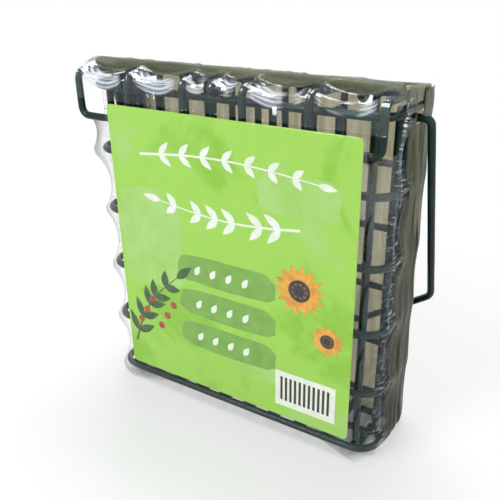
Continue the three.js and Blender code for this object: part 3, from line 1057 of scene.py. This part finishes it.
    def marks(self, spread: np.ndarray, points: np.ndarray) -> dict[str, np.ndarray]:
        """Says where the cap is milky behind its bar, and where painted highlight arcs lie over its front.

        Args:
            spread: The film's grid of points, taut.
            points: The draped grid of points.

        Returns:
            A grid for each mark.
        """
        x, y, z = (spread[..., k] for k in range(3))
        front_z, bar_y = self.front_z, self.bar_y
        phase = self.hang(x)
        off_bar = 1 - self.bar_clear * bell(bar_y, self.bar_width, y)
        haze = self.front_haze + self.bar_haze * smooth_step(*self.bar_hazy, y - bar_y) * off_bar
        haze += self.rear_haze * smooth_step(*self.rear_hazy, y - bar_y)
        arc = (front_z - z) / (front_z - self.hem_z) - self.arc_sag * phase
        on_top = z > front_z - self.top_margin
        arc -= self.arc_top * (y - self.front_y) / (bar_y - self.front_y) * on_top
        near = smooth_step(*self.arc_rise, arc) * (1 - smooth_step(*self.arc_fall, arc))
        patches = smooth_step(*self.patch, field_noise(points, self.patch_mm, 12.0))
        before_bar = 1 - smooth_step(*self.glare_arcs_y, y - bar_y)
        # Painted highlight: white-blue arcs over the lip's front, before the bar
        whitening_and_glare = self.glare_arcs * near * smooth_step(*self.slack, phase) * patches * before_bar
        nothing = np.zeros_like(haze)
        return {"haze": haze, "whitening_and_glare": whitening_and_glare, "backing": nothing, "depth": nothing,
                "hatch": nothing, "arc": arc}

    def dress(self) -> None:
        """Lays the cap from the lip to the hinge."""
        travel, path, outward = self.profile()
        half = self.layout.lid_half + self.side_reach
        run = np.linspace(-half - self.flap, half + self.flap, self.columns)
        shape = (self.rows, self.columns)
        spread = np.stack([np.broadcast_to(np.clip(run, -half, half), shape),
                           np.broadcast_to(path[:, :1], shape), np.broadcast_to(path[:, 1:], shape)], 2)
        points = self.drape(spread, outward, np.clip(np.abs(run) - half, 0, None)[None])
        flat = np.stack([np.broadcast_to(travel[:, None], shape), np.broadcast_to(run, shape)], 2)
        grid = FilmGrid(points, flat, self.marks(spread, points), closed=False)
        place_piece(grid.mesh(), "film_cap_wrapped", self.film, Body.LID, ["film_cap"])


@dataclass
class CardArt:
    """Generic print on the card: washes, brush bars, leaves, seeds and a flower, as thin layers."""

    layout: Layout
    layer: float = 0.03 * MM
    layer_share: float = 0.9
    stagger: float = 0.2
    # Brush bars: squarish ends, with a ragged edge
    squareness: Pair = (0.45, 0.5)
    raggedness: float = 0.09
    rag_scale: float = 2.4
    # Sprigs: a tapering stem with pairs of leaves that shrink towards its tip
    stem: float = 1.1 * MM
    stem_taper: float = 0.65
    leaf_angle: float = 42
    leaf_slimness: float = 0.36
    leaf_shrink: float = 0.3
    # Flowers, as shares of their radius
    petal_count: int = 14
    petal_turn: float = 6
    petal_width: float = 0.4
    middle: float = 0.42
    seed_count: int = 9
    seed_ring: float = 0.27
    seed: float = 0.07
    # Striped panel
    panel: Pair = (27 * MM, 17 * MM)
    stripe_count: int = 11
    stripe_pitch: float = 2.1 * MM
    stripe_inset: float = 2.4 * MM
    stripe_rise: Pair = (3 * MM, 14.5 * MM)
    inks: dict[str, bpy.types.Material] = field(init=False)
    width: float = field(init=False)
    height: float = field(init=False)

    def __post_init__(self) -> None:
        """Mixes the inks and measures the card."""
        low, high = self.layout.card_low, self.layout.card_high
        self.inks = {ink.name: ink.material() for ink in INKS}
        self.width = high[0] - low[0]
        self.height = high[2] - low[2]

    def spot(self, across: float, up: float) -> Pair:
        """A place on the card from shares of its width and height."""
        low = self.layout.card_low
        return low[0] + across * self.width, low[2] + up * self.height

    def lay(self, name: str, ink: str, outlines: Sequence[Outline], depth: int = 1,
            hub: bool = True) -> None:
        """Prints closed outlines, in card metres, as one thin layer.

        Args:
            name: The piece's name.
            ink: The ink's name.
            outlines: Closed shapes in X and Z.
            depth: How many layers out of the card's face.
            hub: Whether each shape is filled by a fan round its middle.
        """
        build = bmesh.new()
        for turn, outline in enumerate(outlines):
            front = self.layout.card_low[1] - self.layer * (depth + self.stagger * (turn % 4))
            levels = (front, front + self.layer * self.layer_share)
            near, far = ([build.verts.new((x, y, z)) for x, z in outline] for y in levels)
            if hub:
                middle = np.mean(outline, axis=0)
                hubs = [build.verts.new((middle[0], y, middle[1])) for y in levels]
            else:
                build.faces.new(near)
                build.faces.new(far[::-1])
            for k in range(len(near)):
                following = (k + 1) % len(near)
                build.faces.new((near[following], near[k], far[k], far[following]))
                if hub:
                    build.faces.new((hubs[0], near[k], near[following]))
                    build.faces.new((hubs[1], far[following], far[k]))
        wide = [face for face in build.faces if len(face.verts) > 4]
        bmesh.ops.triangulate(build, faces=wide, ngon_method="EAR_CLIP")
        bmesh.ops.recalc_face_normals(build, faces=build.faces)
        place_piece(finished(build, name), name, self.inks[ink], Body.CAGE)

    @staticmethod
    def leaf(root: Pair, heading: float, length: float, width: float) -> Outline:
        """A pointed leaf from its root along a heading in degrees."""
        angle = math.radians(heading)
        along = (math.cos(angle), math.sin(angle))
        side = (-along[1], along[0])
        steps = 10
        edge = []
        for turn in (1, -1):
            for step in range(steps):
                share = step / steps if turn == 1 else 1 - step / steps
                # The power puts the widest place a little nearer the root
                bulge = turn * width / 2 * math.sin(math.pi * share ** 0.8)
                edge.append((root[0] + along[0] * length * share + side[0] * bulge,
                             root[1] + along[1] * length * share + side[1] * bulge))
        return edge

    @staticmethod
    def disc(centre: Pair, radius: float) -> Outline:
        """A round spot."""
        steps = 24
        return [(centre[0] + radius * math.cos(2 * math.pi * k / steps),
                 centre[1] + radius * math.sin(2 * math.pi * k / steps)) for k in range(steps)]

    @staticmethod
    def rectangle(left: float, foot: float, width: float, height: float) -> Outline:
        """A plain rectangle from its lower left corner."""
        return [(left, foot), (left + width, foot), (left + width, foot + height), (left, foot + height)]

    def stroke(self, path: Sequence[Pair]) -> Outline:
        """A tapering stem along a path."""
        left, right = [], []
        for k, point in enumerate(path):
            before, after = path[max(k - 1, 0)], path[min(k + 1, len(path) - 1)]
            run = (after[0] - before[0], after[1] - before[1])
            size = math.hypot(*run)
            taper = self.stem / 2 * (1 - self.stem_taper * k / (len(path) - 1))
            left.append((point[0] - run[1] / size * taper, point[1] + run[0] / size * taper))
            right.append((point[0] + run[1] / size * taper, point[1] - run[0] / size * taper))
        return left + right[::-1]

    def brush_bar(self, centre: Pair, width: float, height: float, seed: float) -> Outline:
        """A broad dry-brush bar with ragged ends."""
        edge = []
        steps = 60
        for k in range(steps):
            angle = 2 * math.pi * k / steps
            across, up = math.cos(angle), math.sin(angle)
            rag = noise.noise(Vector((across * self.rag_scale, up * self.rag_scale, seed)))
            ragged = 1 + self.raggedness * rag
            x = math.copysign(abs(across) ** self.squareness[0], across)
            z = math.copysign(abs(up) ** self.squareness[1], up)
            edge.append((centre[0] + x * width / 2 * ragged, centre[1] + z * height / 2 * ragged))
        return edge

    def sprig(self, start: Pair, end: Pair, bow: float, pairs: int,
              leaf: float) -> tuple[Outline, list[Outline]]:
        """A bowed stem with paired leaves.

        Args:
            start: The stem's root.
            end: Its tip.
            bow: How far its middle is pushed aside.
            pairs: Pairs of leaves.
            leaf: A leaf's length.

        Returns:
            The stem's outline and the leaves' outlines.
        """
        run = (end[0] - start[0], end[1] - start[1])
        size = math.hypot(*run)
        aside = (-run[1] / size, run[0] / size)
        steps = 16
        path = [(start[0] + run[0] * k / steps + aside[0] * bow * math.sin(math.pi * k / steps),
                 start[1] + run[1] * k / steps + aside[1] * bow * math.sin(math.pi * k / steps))
                for k in range(steps + 1)]
        headings = [math.degrees(math.atan2(after[1] - before[1], after[0] - before[0]))
                    for before, after in zip(path, path[1:])]
        width = leaf * self.leaf_slimness
        leaves = []
        for pair in range(pairs):
            k = 2 + round((steps - 2) * pair / pairs)
            for turn in (-self.leaf_angle, self.leaf_angle):
                length = leaf * (1 - self.leaf_shrink * pair / pairs)
                leaves.append(self.leaf(path[k], headings[k - 1] + turn, length, width))
        leaves.append(self.leaf(path[-1], headings[-1], leaf, width))
        return self.stroke(path), leaves

    def flower(self, centre: Pair, radius: float) -> None:
        """A plain seed-head flower: petals, a dark middle and a ring of seeds."""
        tag = f"{round(radius / MM)}"
        petals = [self.leaf(centre, 360 * k / self.petal_count + self.petal_turn, radius,
                            radius * self.petal_width) for k in range(self.petal_count)]
        self.lay(f"print_petals_{tag}", "ink_petal", petals[::2], 3)
        self.lay(f"print_petals_between_{tag}", "ink_petal", petals[1::2], 4)
        middle = self.disc(centre, radius * self.middle)
        self.lay(f"print_flower_middle_{tag}", "ink_seed", [middle], 5)
        seeds = []
        for k in range(self.seed_count):
            angle = 2 * math.pi * k / self.seed_count
            place = (centre[0] + radius * self.seed_ring * math.cos(angle),
                     centre[1] + radius * self.seed_ring * math.sin(angle))
            seeds.append(self.disc(place, radius * self.seed))
        self.lay(f"print_flower_seeds_{tag}", "ink_twig", seeds, 6)

    def striped_panel(self) -> None:
        """A plain white panel with even dark stripes, in the card's lower right corner."""
        right, foot = self.spot(0.95, 0.045)
        left, (width, height) = right - self.panel[0], self.panel
        self.lay("print_panel", "ink_white", [self.rectangle(left, foot, width, height)], 2)
        low, high = self.stripe_rise
        stripes = [self.rectangle(left + self.stripe_inset + k * self.stripe_pitch, foot + low,
                                  self.stripe_pitch / 2, high - low) for k in range(self.stripe_count)]
        self.lay("print_panel_stripes", "ink_seed", stripes, 3)

    def dress(self) -> None:
        """Prints the card from the back layers to the front ones."""
        washes = [self.brush_bar(self.spot(0.16, 0.55), 34 * MM, 44 * MM, 1.0),
                  self.brush_bar(self.spot(0.79, 0.80), 34 * MM, 16 * MM, 2.0),
                  self.brush_bar(self.spot(0.62, 0.16), 26 * MM, 12 * MM, 3.0)]
        self.lay("print_washes", "ink_pale_green", washes)
        bars = [self.brush_bar(self.spot(0.50, up), 47 * MM, 12.5 * MM, 4.0 + up)
                for up in (0.475, 0.345, 0.215)]
        self.lay("print_brush_bars", "ink_brush_green", bars, 2)
        stem, leaves = self.sprig(self.spot(0.14, 0.85), self.spot(0.86, 0.85), 3 * MM, 7, 7.5 * MM)
        second, more = self.sprig(self.spot(0.80, 0.70), self.spot(0.22, 0.70), 3 * MM, 6, 9.0 * MM)
        self.lay("print_white_sprigs", "ink_white", [stem, second], 2, hub=False)
        self.lay("print_white_leaves", "ink_white", leaves + more, 3)
        seeds = [self.leaf(self.spot(across, up), 60, 5.2 * MM, 2.6 * MM)
                 for up in (0.455, 0.325, 0.195) for across in (0.36, 0.43, 0.50, 0.57)]
        self.lay("print_pale_seeds", "ink_white", seeds, 3)
        twig, foliage = self.sprig(self.spot(0.03, 0.10), self.spot(0.27, 0.42), 4 * MM, 5, 11 * MM)
        self.lay("print_twig", "ink_twig", [twig], 2, hub=False)
        self.lay("print_leaves", "ink_leaf", foliage, 3)
        berries = [self.disc(self.spot(0.07 + 0.035 * k, 0.205 + 0.05 * (k % 3)), 1.7 * MM)
                   for k in range(6)]
        self.lay("print_berries", "ink_berry", berries, 4)
        self.flower(self.spot(0.80, 0.50), 11 * MM)
        self.flower(self.spot(0.91, 0.35), 7 * MM)
        self.striped_panel()


@dataclass
class Card:
    """The printed card itself, with soft edges."""

    stock: bpy.types.Material
    flat_angle: float = math.radians(2)
    edge_angle: float = math.radians(50)
    edge_width: float = 0.08 * MM

    def dress(self) -> None:
        """Rounds the card's edges and replaces its solid."""
        build = merged("label_card")
        bmesh.ops.dissolve_limit(build, angle_limit=self.flat_angle, verts=build.verts,
                                 edges=build.edges)
        draft = draft_object(finished(build, "card"))
        edge = draft.modifiers.new("edge", "BEVEL")
        edge.width = self.edge_width
        edge.segments = 2
        edge.angle_limit = self.edge_angle
        mesh = settle(draft, smooth=False)
        place_piece(mesh, "label_card_printed", self.stock, Body.CAGE, ["label_card"])


@dataclass(frozen=True)
class Studio:
    """Camera at the photograph's angle, a pale floor and soft lamps."""

    azimuth: float = 32.414
    elevation: float = 24.992
    roll: float = -1.1025
    distance: float = 293.3 * MM
    target: Triple = (-4.74 * MM, 5 * MM, 72.8 * MM)
    focal_pixels: float = 643.6
    picture_pixels: float = 500.0
    sensor_mm: float = 36.0
    nearest: float = 0.01
    floor_tone: str = "#F4F4F2"
    floor_reach: float = 3.0
    floor_gap: float = 0.02 * MM
    shadow_fade: Pair = (0.09, 0.24)
    shadow_white: float = 0.55
    world_fill: float = 0.32
    film_layers: int = 32

    def camera(self) -> None:
        """Sets the camera from its angles about the target."""
        turn, rise, roll = (math.radians(a) for a in (self.azimuth, self.elevation, self.roll))
        back = Vector((math.sin(turn) * math.cos(rise), -math.cos(turn) * math.cos(rise), math.sin(rise)))
        right = Vector((0, 0, 1)).cross(back).normalized()
        up = back.cross(right)
        right_rolled = right * math.cos(roll) + up * math.sin(roll)
        up_rolled = up * math.cos(roll) - right * math.sin(roll)
        data = bpy.data.cameras.new("photo_camera")
        data.sensor_width = self.sensor_mm
        data.lens = self.focal_pixels / self.picture_pixels * data.sensor_width
        data.clip_start = self.nearest
        camera = bpy.data.objects.new("photo_camera", data)
        axes = Matrix((right_rolled, up_rolled, back)).transposed().to_4x4()
        axes.translation = Vector(self.target) + back * self.distance
        camera.matrix_world = axes
        bpy.context.scene.collection.objects.link(camera)
        bpy.context.scene.camera = camera

    @staticmethod
    def seen(tree: bpy.types.NodeTree) -> Any:
        """A source that is 1 for rays that see the background: straight, mirrored or through glass."""
        rays = add_node(tree, "ShaderNodeLightPath").outputs
        shown = rays["Is Camera Ray"]
        for ray in ("Is Glossy Ray", "Is Transmission Ray"):
            shown = add_node(tree, "ShaderNodeMath", {"operation": "MAXIMUM"}, {0: shown, 1: rays[ray]})
        return shown

    def floor(self) -> None:
        """Lays a pale floor that shows white to the camera and keeps the shadow."""
        material, tree = new_material("studio_floor")
        place = add_node(tree, "ShaderNodeTexCoord").outputs["Object"]
        away = add_node(tree, "ShaderNodeVectorMath", {"operation": "LENGTH"}, {0: place})
        fade = add_node(tree, "ShaderNodeMapRange",
                        {"From Min": self.shadow_fade[0], "From Max": self.shadow_fade[1],
                         "To Min": self.shadow_white, "interpolation_type": "SMOOTHSTEP"},
                        {"Value": away.outputs["Value"]})
        seen = add_node(tree, "ShaderNodeMath", {"operation": "MULTIPLY"}, {0: self.seen(tree), 1: fade})
        matt = add_node(tree, "ShaderNodeBsdfDiffuse", {"Color": linear(self.floor_tone)})
        white = add_node(tree, "ShaderNodeEmission", {"Color": (1, 1, 1, 1), "Strength": 1.0})
        shader = add_node(tree, "ShaderNodeMixShader", links={0: seen, 1: matt, 2: white})
        add_node(tree, "ShaderNodeOutputMaterial", links={"Surface": shader})
        mesh = bpy.data.meshes.new("floor")
        corners = [(x * self.floor_reach, y * self.floor_reach, 0)
                   for x, y in ((-1, -1), (1, -1), (1, 1), (-1, 1))]
        mesh.from_pydata(corners, [], [(0, 1, 2, 3)])
        mesh.materials.append(material)
        floor = bpy.data.objects.new("floor", mesh)
        floor.location.z = -self.floor_gap
        bpy.context.scene.collection.objects.link(floor)

    def lamp(self, name: str, place: Triple, size: Pair, power: float,
             tint: str) -> None:
        """Adds a soft lamp that looks at the feeder.

        Args:
            name: The lamp's name.
            place: Where it hangs.
            size: Its width and height.
            power: Its power in watts.
            tint: Its hex colour.
        """
        data = bpy.data.lights.new(name, "AREA")
        data.shape = "RECTANGLE"
        data.size, data.size_y = size
        data.energy = power
        data.color = linear(tint)[:3]
        lamp = bpy.data.objects.new(name, data)
        lamp.location = place
        aim = Vector(self.target) - Vector(place)
        lamp.rotation_mode = "QUATERNION"
        lamp.rotation_quaternion = aim.to_track_quat("-Z", "Y")
        bpy.context.scene.collection.objects.link(lamp)

    def world(self) -> None:
        """Fills in from all round with plain white."""
        world = bpy.data.worlds.new("studio")
        bpy.context.scene.world = world
        world.use_nodes = True
        tree = world.node_tree
        tree.nodes.clear()
        fill, white = (add_node(tree, "ShaderNodeBackground", {"Color": (1, 1, 1, 1), "Strength": power})
                       for power in (self.world_fill, 1.0))
        mixed = add_node(tree, "ShaderNodeMixShader", links={0: self.seen(tree), 1: fill, 2: white})
        add_node(tree, "ShaderNodeOutputWorld", links={"Surface": mixed})

    def dress(self) -> None:
        """Sets up the whole studio."""
        self.camera()
        self.floor()
        self.world()
        self.lamp("key_softbox", (-0.35, -0.85, 0.75), (0.4, 0.3), 6.6, "#F2F7FF")
        self.lamp("fill_softbox", (0.95, -0.35, 0.45), (0.4, 0.6), 2.2, "#FFFDF8")
        self.lamp("top_softbox", (-0.1, 0.3, 0.95), (0.5, 0.3), 6.0, "#FFFFFF")
        bpy.context.scene.cycles.transparent_max_bounces = self.film_layers
        bpy.context.scene.view_settings.view_transform = "Standard"


def main() -> None:
    """Dresses every sub-assembly in order.
    """
    logging.basicConfig(level=logging.INFO, format="%(name)s: %(message)s")
    Studio().dress()
    layout = Layout()
    coating = DippedCoating().material()
    film = ShrinkFilm().material()
    wires = CoatedWires(coating)
    for body in Body:
        members = FRAME["record"]["behaviour"]["bodies"][body.value]
        wires.dress([n for n in members if not n.startswith(("film_", "label_"))], body)
    WeldFillets(coating, layout).dress()
    Card(PrintedCard().material()).dress()
    CardArt(layout).dress()
    FilmSleeve(film, layout).dress()
    FilmCap(film, layout).dress()


if __name__ == "__main__":
    main()
